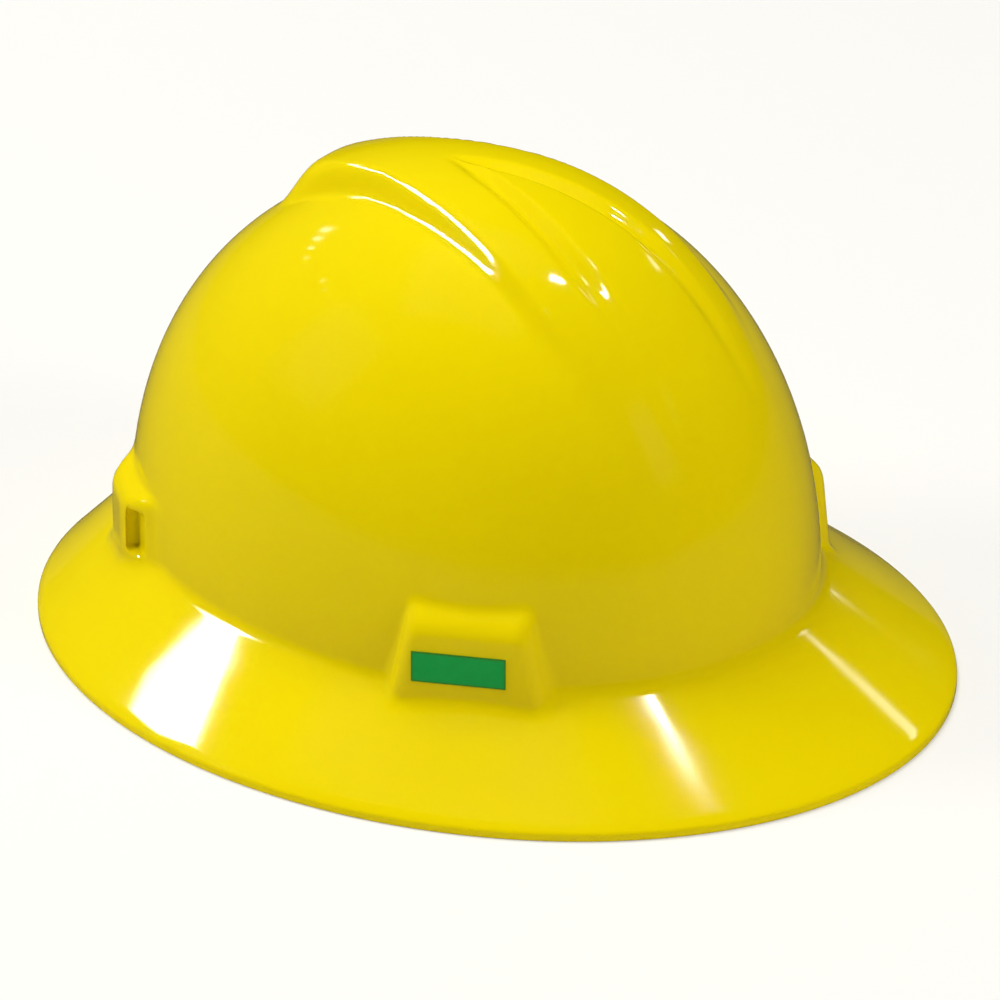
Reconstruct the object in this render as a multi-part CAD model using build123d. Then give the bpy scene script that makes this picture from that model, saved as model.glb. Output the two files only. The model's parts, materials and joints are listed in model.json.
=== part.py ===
from build123d import *
from math import asin, atan2, cos, degrees, hypot, pi, radians, sin, sqrt
import os

# Full brim hard hat: a moulded shell with a brim all round, carried on the head
# by a four point suspension with a ratchet headband.
# Millimetres. +X is the front, +Y the wearer's left, +Z up.
# The origin lies under the middle of the brim, on the plane that the brim's rim rests on.

# Shell: crown and brim
crown_rear = 129.2
crown_half_width = 94.2
crown_base = 31.4
crown_rise = 125.2
brim_rear_reach = 27.8
brim_front_reach = 47.5
brim_side_reach = 35.8
lip_height = 3.0
lip_land = 2.8
plan_power_share = 2.19
rise_power_share = 2.09
crown_steps = 9
shell_wall = 2.4
junction_radius = 6.0
junction_inset = 0.6

# Shell: the raised crest, which is the crown itself lifted and set back
crest_lift = 6.5
crest_setback = 6.0
crest_tail = 72.0
crest_tail_half = 14.0
crest_waist_half = 28.5
crest_shoulder = 46.0
crest_shoulder_half = 38.0
crest_nose = 92.0
crest_nose_half = 33.0
crest_corner_radius = 7.0
crest_edge_radius = 4.0
groove_apex = 20.0
groove_slope_share = 0.268
groove_half_width = 2.6
groove_depth = 4.0

# Shell: four hollow lugs that take the suspension keys, by their angle round the plan
front_lug_angle = 59.5
rear_lug_angle = 138.2
front_lug_proud = 4.5
rear_lug_proud = 6.5
front_lug_half = 18.0
rear_lug_half = 10.5
front_lug_top = 52.7
rear_lug_top = 48.7
front_lug_spread = 7.0
rear_lug_spread = 1.0
front_flare_share = 0.4
rear_flare_share = 1.3
front_slope_share = 0.8
rear_slope_share = 0.35
lug_root = 12.0
lug_floor = 22.5
lug_edge_radius = 2.2
pocket_side_wall = 2.8
pocket_low = 27.0
pocket_high = 46.0
recess_start = 10.2
recess_inner = 0.6
recess_width = 4.6
recess_low = 31.0
recess_high = 46.0
recess_corner_share = 0.45

# Label: a blank sticker on the front right lug
label_width = 30.0
label_height = 10.3
label_thickness = 0.3
label_centre_height = 39.6
label_shift = 2.4

# Headband, seen from above: a half ellipse in front and a half circle behind
band_rear_gap = 31.2
band_front_gap = 13.5
band_side_gap = 18.2
band_thickness = 1.8
band_top = 56.0
band_brow_low = 20.0
band_brow_end = 20.0
band_ear_low = 6.0
band_ear_start = 0.0
band_tail_run = 22.8
band_tail_low = 36.0
band_tail_step = 5.0
band_tail_angle = 30.0
band_corner_radius = 5.0

# Brow pad on the inside of the band
brow_pad_thickness = 4.5
brow_pad_low = 22.0
brow_pad_high = 54.0
brow_pad_end = 52.0
brow_pad_round = 12.0

# Suspension keys, one in each lug
fit_gap = 0.2
soft_gap = 0.3
key_neck_reach = 8.0
key_arm_half = 6.0
key_arm_low = 42.0
key_arm_high = 45.5
key_plate_half = 8.0
key_plate_thickness = 2.0
key_plate_low = 38.5
key_plate_high = 53.0
key_paddle_standoff = 14.5
key_paddle_half = 10.0
key_paddle_thickness = 2.4
key_paddle_low = 53.5
key_paddle_top = 66.0
key_stem_half = 5.0
key_edge_radius = 0.8
key_side_wall = 4.0
key_hollow_depth = 4.5
key_hollow_margin = 2.5

# Pegs that button the headband to the keys
peg_height = 49.5
peg_radius = 2.0
peg_head_radius = 3.6
peg_head_thickness = 1.0
peg_snap_radius = 2.7
peg_slack = 0.15
peg_slot_play = 1.2

# Crown straps
strap_half_width = 9.5
strap_thickness = 1.2
strap_end = 54.5
strap_spring_line = 70.0
strap_top = 121.0
strap_cross_gap = 0.9
rivet_height = 61.0
rivet_radius = 1.6
rivet_head_radius = 3.2
rivet_head_thickness = 0.9

# Ratchet: pinion and racks
ratchet_height = 18.0
pinion_pitch_radius = 5.4
pinion_teeth = 10
tooth_addendum = 0.9
tooth_dedendum = 1.15
tooth_backlash = 0.34
tooth_flank_angle = 25.0
pinion_root_share = 0.8
knob_half_turn = 165.0
rack_thickness = 1.6
rack_gap = 0.3
rack_half_height = 10.0
rack_slot_margin = 0.7
rack_tip_length = 3.2
rack_front_angle = 80.0
rack_end_radius = 4.0
keeper_start_angle = 57.0
keeper_end_angle = 65.0
keeper_wall = 1.5

# Ratchet: case
case_half_angle = 33.0
case_half_height = 15.0
case_wall = 1.9
case_corner_radius = 5.0
case_seam_gap = 0.1
case_screw_angle = 28.0
case_screw_height = 12.6
case_screw_radius = 1.0
case_screw_head_radius = 1.9
case_screw_head_thickness = 0.8
click_ring_radius = 12.0
click_ring_wall = 1.4
click_ring_height = 3.4
click_teeth = 24
click_tooth_depth = 0.8
click_lean_share = 0.5

# Ratchet: knob and what turns with it
shaft_radius = 4.0
pilot_radius = 2.5
running_gap = 0.05
drive_half = 2.6
spring_hub_radius = 5.6
spring_thickness = 2.2
spring_arm_width = 1.1
spring_arm_sweep = 130.0
spring_tip_gap = 0.25
spring_side_gap = 0.4
knob_radius = 14.6
knob_skirt_wall = 1.8
knob_gap = 0.6
knob_depth = 10.4
knob_face = 6.0
knob_edge_radius = 1.2
knob_dish_radius = 8.5
knob_dish_depth = 1.4
grip_thickness = 1.9
grip_ribs = 24
grip_rib_height = 0.5
grip_rib_radius = 1.0
grip_half_length = 3.0
screw_radius = 1.4
screw_length = 8.0
screw_head_radius = 3.0
screw_head_thickness = 1.6
driver_slot_width = 0.5

# Sizes that follow from those above
brim_half_length = crown_rear + brim_rear_reach
brim_half_width = crown_half_width + brim_side_reach
crown_front = brim_half_length - brim_front_reach
band_radius = crown_half_width - band_side_gap
band_centre = crown_rear - band_rear_gap - band_radius
band_front = crown_front + band_centre - band_front_gap

overrun = 20.0
os.makedirs("parts", exist_ok=True)


# Shared shapes

def egg(front, rear, half_width, height):
    """A flat face: half an ellipse in front of the Y axis, another half behind it."""
    fore = EllipticalCenterArc((0, 0), front, half_width, -90, arc_size=180)
    aft = EllipticalCenterArc((0, 0), rear, half_width, 90, arc_size=180)
    return Pos(0, 0, height) * make_face([fore, aft])


def crown(inset):
    """The crown as a solid dome: one profile revolved, its halves stretched fore and aft."""
    half = crown_half_width - inset
    rise = crown_rise - inset
    points = []
    for step in range(crown_steps):
        angle = radians(90 * step / crown_steps)
        points.append((half * cos(angle) ** (2 / plan_power_share), rise * sin(angle) ** (2 / rise_power_share)))
    points.append((0, rise))
    curve = Spline(*points, tangents=[(0, 1), (-1, 0)])
    foot = -(crown_base - lug_floor)
    edges = [Line((0, foot), (half, foot)), Line((half, foot), (half, 0)), curve, Line((0, rise), (0, foot))]
    profile = Pos(0, 0, crown_base) * (Plane.YZ * make_face(edges))
    aft = scale(revolve(profile, Axis.Z, 180), by=((crown_rear - inset) / half, 1, 1))
    fore = scale(revolve(profile, Axis.Z, -180), by=((crown_front - inset) / half, 1, 1))
    return aft + fore


def place(angle):
    """A point on the crown's plan outline, at a parametric angle, and the outward normal there."""
    reach = crown_front if abs(angle) < 90 else crown_rear
    turn = radians(angle)
    across = cos(turn) / reach
    along = sin(turn) / crown_half_width
    size = hypot(across, along)
    return (reach * cos(turn), crown_half_width * sin(turn)), (across / size, along / size)


def upright(point, normal, height=0):
    """A standing plane: local X level, local Y up, local Z along the normal."""
    x_dir = (-normal[1], normal[0], 0)
    return Plane(origin=(point[0], point[1], height), x_dir=x_dir, z_dir=(normal[0], normal[1], 0))


def block(plane, half_width, low, high, start, end, centre=0):
    """A box on a standing plane, from start to end along its normal."""
    outline = Pos(centre, (low + high) / 2) * Rectangle(2 * half_width, high - low)
    return plane.offset(start) * extrude(outline, end - start)


def sector(inner, outer, first, last, low, high):
    """A curved strip about the headband's rear centre; angles count from the rear, left positive."""
    start = 180 - first
    sweep = first - last
    edges = [
        CenterArc((0, 0), inner, start, sweep),
        CenterArc((0, 0), outer, start, sweep),
    ]
    for end in (start, start + sweep):
        way = (cos(radians(end)), sin(radians(end)))
        edges.append(Line((inner * way[0], inner * way[1]), (outer * way[0], outer * way[1])))
    return Pos(-band_centre, 0, low) * extrude(make_face(edges), high - low)


def radial(angle, height):
    """A plane at the rear centre's axis that looks out along one radius of the rear arc."""
    way = (-cos(radians(angle)), sin(radians(angle)))
    return Plane(origin=(-band_centre, 0, height), x_dir=(-way[1], way[0], 0), z_dir=(way[0], way[1], 0))


def rod(plane, radius, start, end):
    return plane.offset(start) * extrude(Circle(radius), end - start)


def save(solid, name):
    solid.label = name
    export_step(solid, os.path.join("parts", name + ".step"))
    return solid


lug_angles = {
    "front_left": front_lug_angle,
    "front_right": -front_lug_angle,
    "rear_left": rear_lug_angle,
    "rear_right": -rear_lug_angle,
}


def by_lug(front, rear):
    """One value for each lug: the first for the front pair, the second for the rear pair."""
    return {name: front if "front" in name else rear for name in lug_angles}


lug_prouds = by_lug(front_lug_proud, rear_lug_proud)
lug_halves = by_lug(front_lug_half, rear_lug_half)
lug_tops = by_lug(front_lug_top, rear_lug_top)
lug_spreads = by_lug(front_lug_spread, rear_lug_spread)
flare_shares = by_lug(front_flare_share, rear_flare_share)
slope_shares = by_lug(front_slope_share, rear_slope_share)


# Shell

def brim_solid():
    """The brim as a solid skirt: a flat edged lip and a cone up to the crown."""
    lip = extrude(egg(brim_half_length, brim_half_length, brim_half_width, 0), lip_height)
    low = egg(brim_half_length, brim_half_length, brim_half_width, lip_height)
    shrink = junction_inset
    high = egg(crown_front - shrink, crown_rear - shrink, crown_half_width - shrink, crown_base)
    return lip + loft([low, high], ruled=True)


def brim_hollow():
    """What is cut from under the brim, so that the wall stays even."""
    land = lip_land
    low = egg(brim_half_length - land, brim_half_length - land, brim_half_width - land, 0)
    reach = brim_half_width - crown_half_width
    fall = crown_base - lip_height
    drop = shell_wall * (hypot(reach, fall) - fall) / reach
    shrink = shell_wall + junction_inset
    high = egg(crown_front - shrink, crown_rear - shrink, crown_half_width - shrink, crown_base - drop)
    return loft([low, high], ruled=True)


def blend_junction(solid, radius):
    """Rounds the inside corner between the crown's wall and the brim."""
    ring = [e for e in solid.edges() if abs(e.center().Z - crown_base) < shell_wall and e.length > crown_front]
    return fillet(ring, radius)


def crest(dome, inset):
    """The crest: the lifted crown inside a wedge outline, parted by two grooves into three ridges."""
    points = [
        (-crest_tail + inset, -crest_tail_half + inset),
        (0, -crest_waist_half + inset),
        (crest_shoulder, -crest_shoulder_half + inset),
        (crest_nose, -crest_nose_half + inset),
        (crest_nose, crest_nose_half - inset),
        (crest_shoulder, crest_shoulder_half - inset),
        (0, crest_waist_half - inset),
        (-crest_tail + inset, crest_tail_half - inset),
    ]
    outline = make_face(Polyline(*points, close=True))
    outline = fillet(outline.vertices().sort_by(Axis.X)[:2], crest_corner_radius)
    reach = crest_nose + groove_apex
    strip = Pos(reach / 2, 0) * Rectangle(reach, 2 * (groove_half_width + inset))
    splay = degrees(atan2(groove_slope_share, 1))
    grooves = [Pos(-groove_apex, 0) * Rot(0, 0, side * splay) * strip for side in (-1, 1)]
    base = Pos(0, 0, crown_base + crown_rise / 2)
    lifted = Pos(-crest_setback, 0, crest_lift) * dome
    if inset > 0:
        for groove in grooves:
            outline = outline - groove
        return lifted & (base * extrude(outline, crown_rise))
    body = lifted & (base * extrude(outline, crown_rise))
    high = crown_base + crown_rise / 2 + crest_lift
    rim = [e for e in body.edges() if e.center().Z > high and e.length > groove_depth]
    body = fillet([e for e in rim if hypot(e.center().X, e.center().Y) > crest_tail_half], crest_edge_radius)
    floor = Pos(-crest_setback, 0, crest_lift - groove_depth) * dome
    for groove in grooves:
        body = body - (base * extrude(groove, crown_rise) - floor)
    return body


def lug(name):
    """A hollow lug's outer form: a trapezoid that narrows outwards, its top face sloping up to the crown."""
    point, normal = place(lug_angles[name])
    plane = upright(point, normal)
    depth = lug_prouds[name] + lug_root
    flare = flare_shares[name] * depth
    half = lug_halves[name]
    foot = half + lug_spreads[name]
    top = lug_tops[name]
    top_root = top + slope_shares[name] * depth
    root = Polyline(
        (-foot - flare, lug_floor),
        (foot + flare, lug_floor),
        (half + flare, top_root),
        (-half - flare, top_root),
        close=True,
    )
    face = Polyline((-foot, lug_floor), (foot, lug_floor), (half, top), (-half, top), close=True)
    body = loft([plane.offset(-lug_root) * make_face(root), plane.offset(lug_prouds[name]) * make_face(face)],
                ruled=True)
    raised = [e for e in body.edges() if e.center().Z > lug_floor + lug_edge_radius]
    outer = [e for e in raised if plane.to_local_coords(e.center()).Z > lug_edge_radius - lug_root]
    return fillet(outer, lug_edge_radius)


def lug_pocket(name):
    """The socket inside a lug, open towards the head."""
    point, normal = place(lug_angles[name])
    half = lug_halves[name] - pocket_side_wall
    floor = lug_prouds[name] - shell_wall
    return block(upright(point, normal), half, pocket_low, pocket_high, -overrun / 2, floor)


def lug_recess(name):
    """The rounded recess in the side of a rear lug that faces forwards."""
    point, normal = place(lug_angles[name])
    side = -1 if lug_angles[name] > 0 else 1
    length = overrun
    form = block(upright(point, normal), length / 2, recess_low, recess_high, recess_inner,
                 recess_inner + recess_width, side * (recess_start + length / 2))
    long_edges = [e for e in form.edges() if abs(e.length - length) < shell_wall]
    return fillet(long_edges, recess_width * recess_corner_share)


dome = crown(0)
outer = blend_junction(dome + brim_solid(), junction_radius)
outer = outer + crest(dome, 0)
for name in lug_angles:
    outer = outer + lug(name)
inner_dome = crown(shell_wall)
inner = blend_junction(inner_dome + brim_hollow(), junction_radius + shell_wall)
inner = inner + crest(inner_dome, shell_wall)
shell = outer - inner
for name in lug_angles:
    shell = shell - lug_pocket(name)
for name in ("rear_left", "rear_right"):
    shell = shell - lug_recess(name)
save(shell, "shell")

label_plane = upright(*place(-front_lug_angle))
label = block(
    label_plane, label_width / 2, label_centre_height - label_height / 2, label_centre_height + label_height / 2,
    front_lug_proud, front_lug_proud + label_thickness, -label_shift,
)
save(label, "blank_label")


# Headband

def band_meeting(point, normal):
    """Where the line inwards from a lug meets the band's outer face, and the band's normal there."""
    long_half = (band_front if point[0] > 0 else band_radius) + band_thickness
    short_half = band_radius + band_thickness
    x = point[0] + band_centre
    a = (normal[0] / long_half) ** 2 + (normal[1] / short_half) ** 2
    b = -2 * (x * normal[0] / long_half ** 2 + point[1] * normal[1] / short_half ** 2)
    c = (x / long_half) ** 2 + (point[1] / short_half) ** 2 - 1
    depth = (-b - sqrt(b * b - 4 * a * c)) / (2 * a)
    spot = (point[0] - depth * normal[0], point[1] - depth * normal[1])
    across = (spot[0] + band_centre) / long_half ** 2
    along = spot[1] / short_half ** 2
    size = hypot(across, along)
    return spot, (across / size, along / size)


def band_plan(grow, height):
    """The band's outline as a face, grown outwards: a half circle and two quarter ellipses."""
    long_half = band_front + grow
    short_half = band_radius + grow
    edges = [EllipticalCenterArc((0, 0), long_half, short_half, start, arc_size=90) for start in (-90, 0)]
    edges.append(CenterArc((0, 0), short_half, 90, 180))
    return Pos(-band_centre, 0, height) * make_face(edges)


rack_low = ratchet_height - rack_half_height
rack_high = ratchet_height + rack_half_height
inner_rack = band_radius + band_thickness + rack_gap
outer_rack = inner_rack + rack_thickness + rack_gap
rack_radii = {"left": inner_rack, "right": outer_rack}
tail_x = -band_centre - band_radius * cos(radians(band_tail_angle))

ring = extrude(band_plan(band_thickness, 0) - band_plan(0, 0), band_top)
side_points = [
    (brim_half_length, band_brow_low),
    (band_brow_end, band_brow_low),
    (-band_ear_start, band_ear_low),
    (tail_x + band_tail_run, band_ear_low),
    (tail_x + band_tail_run - band_tail_step, band_tail_low),
    (tail_x, band_tail_low),
    (tail_x, band_top),
    (brim_half_length, band_top),
]
side_view = make_face(Polyline(*side_points, close=True))
side_corners = [v for v in side_view.vertices() if v.X < band_brow_end + band_thickness]
side_view = fillet(side_corners, band_corner_radius)
headband = ring & (Plane.XZ * extrude(side_view, brim_half_width, both=True))

for side, name in ((1, "left"), (-1, "right")):
    reach = rack_radii[name] + rack_thickness + rack_gap
    first = side * keeper_start_angle
    last = side * keeper_end_angle
    loop = sector(band_radius, reach + keeper_wall, first, last, rack_low - rack_gap - keeper_wall,
                  rack_high + rack_gap + keeper_wall)
    slot = sector(rack_radii[name] - rack_gap, reach, first - side * band_tail_step, last + side * band_tail_step,
                  rack_low - rack_gap, rack_high + rack_gap)
    headband = headband + (loop - slot)

meetings = {}
for name, angle in lug_angles.items():
    meetings[name] = band_meeting(*place(angle))
for spot, normal in meetings.values():
    opening = SlotOverall(2 * (peg_radius + running_gap) + peg_slot_play, 2 * (peg_radius + running_gap))
    start = upright(spot, normal, peg_height).offset(-overrun / 2)
    headband = headband - start * extrude(opening, overrun)
save(headband, "headband")

pegs = []
for spot, normal in meetings.values():
    seat = upright(spot, normal, peg_height)
    inside = -band_thickness - peg_slack
    outside = soft_gap + key_plate_thickness + peg_slack
    peg = rod(seat, peg_radius, inside, outside)
    peg = peg + rod(seat, peg_head_radius, inside - peg_head_thickness, inside)
    peg = peg + rod(seat, peg_snap_radius, outside, outside + peg_head_thickness)
    pegs.append(peg)
save(Compound(children=pegs), "headband_pegs")


# Brow pad, a soft strip inside the front of the band

pad_ring = extrude(band_plan(-soft_gap, brow_pad_low) - band_plan(-soft_gap - brow_pad_thickness, brow_pad_low),
                   brow_pad_high - brow_pad_low)
pad_side = Rectangle(2 * (brim_half_length - brow_pad_end), brow_pad_high - brow_pad_low)
pad_side = Pos(brim_half_length, (brow_pad_low + brow_pad_high) / 2) * fillet(pad_side.vertices(), brow_pad_round)
brow_pad = pad_ring & (Plane.XZ * extrude(pad_side, brim_half_width, both=True))
save(brow_pad, "brow_pad")


# Suspension keys and crown straps

def strap_run(rear_name, front_name):
    """The straight line between two opposite lugs: its start, its direction and its length."""
    start = place(lug_angles[rear_name])[0]
    end = place(lug_angles[front_name])[0]
    length = hypot(end[0] - start[0], end[1] - start[1])
    return start, ((end[0] - start[0]) / length, (end[1] - start[1]) / length), length


strap_pairs = {
    "lower_crown_strap": ("rear_right", "front_left"),
    "upper_crown_strap": ("rear_left", "front_right"),
}
strap_ways = {}
for rear_name, front_name in strap_pairs.values():
    start, way, length = strap_run(rear_name, front_name)
    strap_ways[rear_name] = way
    strap_ways[front_name] = (-way[0], -way[1])

rivets = []
for name, angle in lug_angles.items():
    point, normal = place(angle)
    plane = upright(point, normal)
    tongue_end = lug_prouds[name] - shell_wall - fit_gap
    tongue_half = lug_halves[name] - pocket_side_wall - fit_gap
    tongue = block(plane, tongue_half, pocket_low + fit_gap, pocket_high - fit_gap, -key_neck_reach, tongue_end)
    hollow = block(plane, tongue_half - key_side_wall, pocket_low + key_hollow_margin,
                   pocket_high - key_hollow_margin, tongue_end - key_hollow_depth, overrun)
    key = fillet((tongue - hollow).edges().filter_by(Axis.Z), key_edge_radius)
    spot, band_normal = meetings[name]
    band_face = upright(spot, band_normal)
    arm_outline = Rectangle(2 * key_arm_half, key_arm_high - key_arm_low)
    arm_outline = Pos(0, (key_arm_low + key_arm_high) / 2) * arm_outline
    arm = loft([plane.offset(-key_neck_reach / 2) * arm_outline,
                band_face.offset(soft_gap + key_plate_thickness / 2) * arm_outline], ruled=True)
    plate = block(band_face, key_plate_half, key_plate_low, key_plate_high,
                  soft_gap, soft_gap + key_plate_thickness)
    peg_hole = rod(upright(spot, band_normal, peg_height), peg_radius + running_gap, -overrun, overrun)
    way = strap_ways[name]
    paddle_spot = (point[0] + key_paddle_standoff * way[0], point[1] + key_paddle_standoff * way[1])
    strap_face = upright(paddle_spot, way)
    paddle = block(strap_face, key_paddle_half, key_paddle_low, key_paddle_top, -key_paddle_thickness, 0)
    stem = block(strap_face, key_stem_half, key_arm_low, key_paddle_low, -key_paddle_thickness, 0)
    rivet_line = upright(paddle_spot, way, rivet_height)
    rivet_hole = rod(rivet_line, rivet_radius + running_gap, -overrun, overrun)
    key = key + arm + (plate - peg_hole) + stem + (paddle - rivet_hole)
    save(key, name + "_key")
    back = -key_paddle_thickness
    front = soft_gap + strap_thickness
    rivet = rod(rivet_line, rivet_radius, back, front)
    rivet = rivet + rod(rivet_line, rivet_head_radius, back - rivet_head_thickness, back)
    rivet = rivet + rod(rivet_line, rivet_head_radius, front, front + rivet_head_thickness)
    rivets.append(rivet)
save(Compound(children=rivets), "strap_rivets")


def arch(start, end, crossing, foot, spring, top):
    """A flat arch: two upright legs under two quarter ellipses that meet where the straps cross."""
    edges = [
        Line((start, foot), (start, spring)),
        EllipticalCenterArc((crossing, spring), crossing - start, top - spring, 90, arc_size=90),
        EllipticalCenterArc((crossing, spring), end - crossing, top - spring, 0, arc_size=90),
        Line((end, spring), (end, foot)),
        Line((end, foot), (start, foot)),
    ]
    return make_face(edges)


strap_lifts = {"lower_crown_strap": 0, "upper_crown_strap": strap_thickness + strap_cross_gap}
for name, (rear_name, front_name) in strap_pairs.items():
    start, way, length = strap_run(rear_name, front_name)
    plane = Plane(origin=(start[0], start[1], 0), x_dir=(way[0], way[1], 0), z_dir=(way[1], -way[0], 0))
    crossing = -start[1] / way[1]
    near = key_paddle_standoff + soft_gap
    top = strap_top + strap_lifts[name]
    web = arch(near, length - near, crossing, strap_end, strap_spring_line, top)
    near = near + strap_thickness
    web = web - arch(near, length - near, crossing, strap_end, strap_spring_line, top - strap_thickness)
    strap = plane * extrude(web, strap_half_width, both=True)
    for end_name in (rear_name, front_name):
        point = place(lug_angles[end_name])[0]
        end_way = strap_ways[end_name]
        hole = upright(point, end_way, rivet_height)
        strap = strap - rod(hole, rivet_radius + running_gap, 0, overrun)
    save(strap, name)


# Ratchet racks

tooth_pitch = 2 * pi * pinion_pitch_radius / pinion_teeth
tooth_slope = sin(radians(tooth_flank_angle)) / cos(radians(tooth_flank_angle))
tooth_half = tooth_pitch / 4 - tooth_backlash / 2
travel = radians(knob_half_turn) * pinion_pitch_radius
slot_half = travel + pinion_pitch_radius + tooth_addendum + rack_slot_margin


def rack_strap(side, inner):
    """A curved strap whose slotted end carries a rack on one edge of the slot."""
    mean = inner + rack_thickness / 2
    slot_angle = degrees(slot_half / mean)
    tip_angle = degrees((slot_half + rack_tip_length) / mean)
    strap = sector(inner, inner + rack_thickness, side * rack_front_angle, -side * tip_angle, rack_low, rack_high)
    ends = [e for e in strap.edges() if abs(e.length - rack_thickness) < running_gap]
    strap = fillet(ends, rack_end_radius)
    root = pinion_pitch_radius + tooth_dedendum
    back = pinion_pitch_radius + tooth_addendum + rack_slot_margin
    low = ratchet_height - (back if side > 0 else root)
    high = ratchet_height + (root if side > 0 else back)
    slot = sector(inner - rack_gap, inner + rack_thickness + rack_gap, side * slot_angle, -side * slot_angle,
                  low, high)
    strap = strap - slot
    tip = pinion_pitch_radius - tooth_addendum
    tip_half = tooth_half - tooth_addendum * tooth_slope
    root_half = tooth_half + tooth_dedendum * tooth_slope
    count = int(slot_half / tooth_pitch)
    for index in range(-count, count):
        angle = degrees((index + 0.5) * tooth_pitch / mean)
        outline = Polyline(
            (-root_half, side * root),
            (-tip_half, side * tip),
            (tip_half, side * tip),
            (root_half, side * root),
            (root_half, side * (root + keeper_wall)),
            (-root_half, side * (root + keeper_wall)),
            close=True,
        )
        tooth = radial(angle, ratchet_height).offset(inner) * extrude(make_face(outline), rack_thickness)
        strap = strap + tooth
    return strap


save(rack_strap(1, inner_rack), "left_rack_strap")
save(rack_strap(-1, outer_rack), "right_rack_strap")


# Ratchet case

case_inner = band_radius
plate_inner = band_radius + case_wall - case_seam_gap
cover_inner = outer_rack + rack_thickness + rack_gap
cover_outer = cover_inner + case_wall
case_low = ratchet_height - case_half_height
case_high = ratchet_height + case_half_height
axle = radial(0, ratchet_height)
channel_low = rack_low - rack_gap
channel_high = rack_high + rack_gap


def round_case(solid, thickness):
    ends = [e for e in solid.edges() if abs(e.length - thickness) < running_gap]
    return fillet(ends, case_corner_radius)


def screw_lines():
    lines = []
    for side in (-1, 1):
        for level in (-1, 1):
            lines.append(radial(side * case_screw_angle, ratchet_height + level * case_screw_height))
    return lines


backplate = round_case(sector(case_inner, plate_inner, case_half_angle, -case_half_angle, case_low, case_high),
                       plate_inner - case_inner)
backplate = backplate - rod(axle, pilot_radius + running_gap, 0, plate_inner + overrun)
cover = round_case(sector(plate_inner, cover_outer, case_half_angle, -case_half_angle, case_low, case_high),
                   cover_outer - plate_inner)
reach_angle = case_half_angle + band_tail_step
cover = cover - sector(plate_inner - rack_gap, cover_inner, reach_angle, -reach_angle, channel_low, channel_high)
ring_base = cover_inner + case_wall / 2
ring_top = cover_outer + click_ring_height
cover = cover + rod(axle, click_ring_radius, ring_base, ring_top)
click_inner = click_ring_radius - click_ring_wall
cover = cover - rod(axle, click_inner - click_tooth_depth, cover_outer, ring_top + overrun)
for index in range(click_teeth):
    half = pi * click_inner / click_teeth
    root = click_inner - click_tooth_depth - running_gap
    notch = Polyline((0, root), (half, click_inner), (-half * click_lean_share, click_inner), close=True)
    notch = Rot(0, 0, 360 * index / click_teeth) * make_face(notch)
    notch = axle.offset(cover_outer) * extrude(notch, click_ring_height + overrun)
    cover = cover - notch
cover = cover - rod(axle, shaft_radius + running_gap, cover_inner - overrun / 2, cover_outer + overrun)
screws = []
head_seat = sqrt(case_inner ** 2 - case_screw_head_radius ** 2)
for line in screw_lines():
    backplate = backplate - rod(line, case_screw_radius + running_gap, 0, overrun + cover_outer)
    cover = cover - rod(line, case_screw_radius + running_gap, 0, cover_outer - case_wall / 2)
    screw = rod(line, case_screw_radius, head_seat, cover_outer - case_wall / 2)
    screw = screw + rod(line, case_screw_head_radius, head_seat - case_screw_head_thickness, head_seat)
    screws.append(screw)
save(backplate, "ratchet_backplate")
save(cover, "ratchet_cover")
save(Compound(children=screws), "case_screws")


# Pinion, click spring and knob

def gear_outline():
    """A small gear with straight flanks, one tooth pointing up."""
    root = pinion_pitch_radius - tooth_dedendum
    tip = pinion_pitch_radius + tooth_addendum
    tip_half = tooth_half - tooth_addendum * tooth_slope
    root_half = tooth_half + tooth_dedendum * tooth_slope * pinion_root_share
    wheel = Circle(root)
    for index in range(pinion_teeth):
        tooth = Polyline(
            (-root_half, root * cos(asin(root_half / root)) - running_gap),
            (root_half, root * cos(asin(root_half / root)) - running_gap),
            (tip_half, tip),
            (-tip_half, tip),
            close=True,
        )
        wheel = wheel + Rot(0, 0, 360 * index / pinion_teeth) * make_face(tooth)
    return wheel


gear_start = plate_inner + rack_gap
gear_tip = pinion_pitch_radius + tooth_addendum
gear_end = sqrt(cover_inner ** 2 - gear_tip ** 2) - rack_gap / 2
spring_start = cover_outer + spring_side_gap
spring_end = spring_start + spring_thickness
knob_start = cover_outer + knob_gap
knob_end = knob_start + knob_depth
face_start = knob_end - knob_face
drive_end = face_start + knob_face / 2

pinion = axle.offset(gear_start) * extrude(gear_outline(), gear_end - gear_start)
pinion = pinion + rod(axle, pilot_radius, case_inner, gear_start)
pinion = pinion + rod(axle, shaft_radius, gear_end, spring_start)
drive = axle.offset(spring_start) * extrude(Rectangle(2 * drive_half, 2 * drive_half), drive_end - spring_start)
pinion = pinion + drive
pinion = pinion - rod(axle, screw_radius + running_gap, drive_end - screw_length, drive_end + overrun)
save(pinion, "ratchet_pinion")

spring_reach = click_inner - click_tooth_depth - spring_tip_gap
spring_plan = Circle(spring_hub_radius)
arm_mid = spring_reach - spring_arm_width
for turn in (0, 180):
    arm = CenterArc((0, 0), arm_mid, 0, spring_arm_sweep)
    arm_face = trace(arm, spring_arm_width)
    root_box = Rectangle(arm_mid - spring_hub_radius + spring_arm_width, 2 * spring_arm_width)
    root_box = Pos((spring_hub_radius + arm_mid) / 2 - running_gap, 0) * root_box
    tip_spot = Rot(0, 0, spring_arm_sweep) * Pos(arm_mid, 0)
    tip = tip_spot * Circle(spring_arm_width)
    spring_plan = spring_plan + Rot(0, 0, turn) * (arm_face + root_box + tip)
spring_plan = spring_plan - Rectangle(2 * (drive_half + running_gap), 2 * (drive_half + running_gap))
click_spring = axle.offset(spring_start) * extrude(spring_plan, spring_thickness)
save(click_spring, "click_spring")

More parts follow.
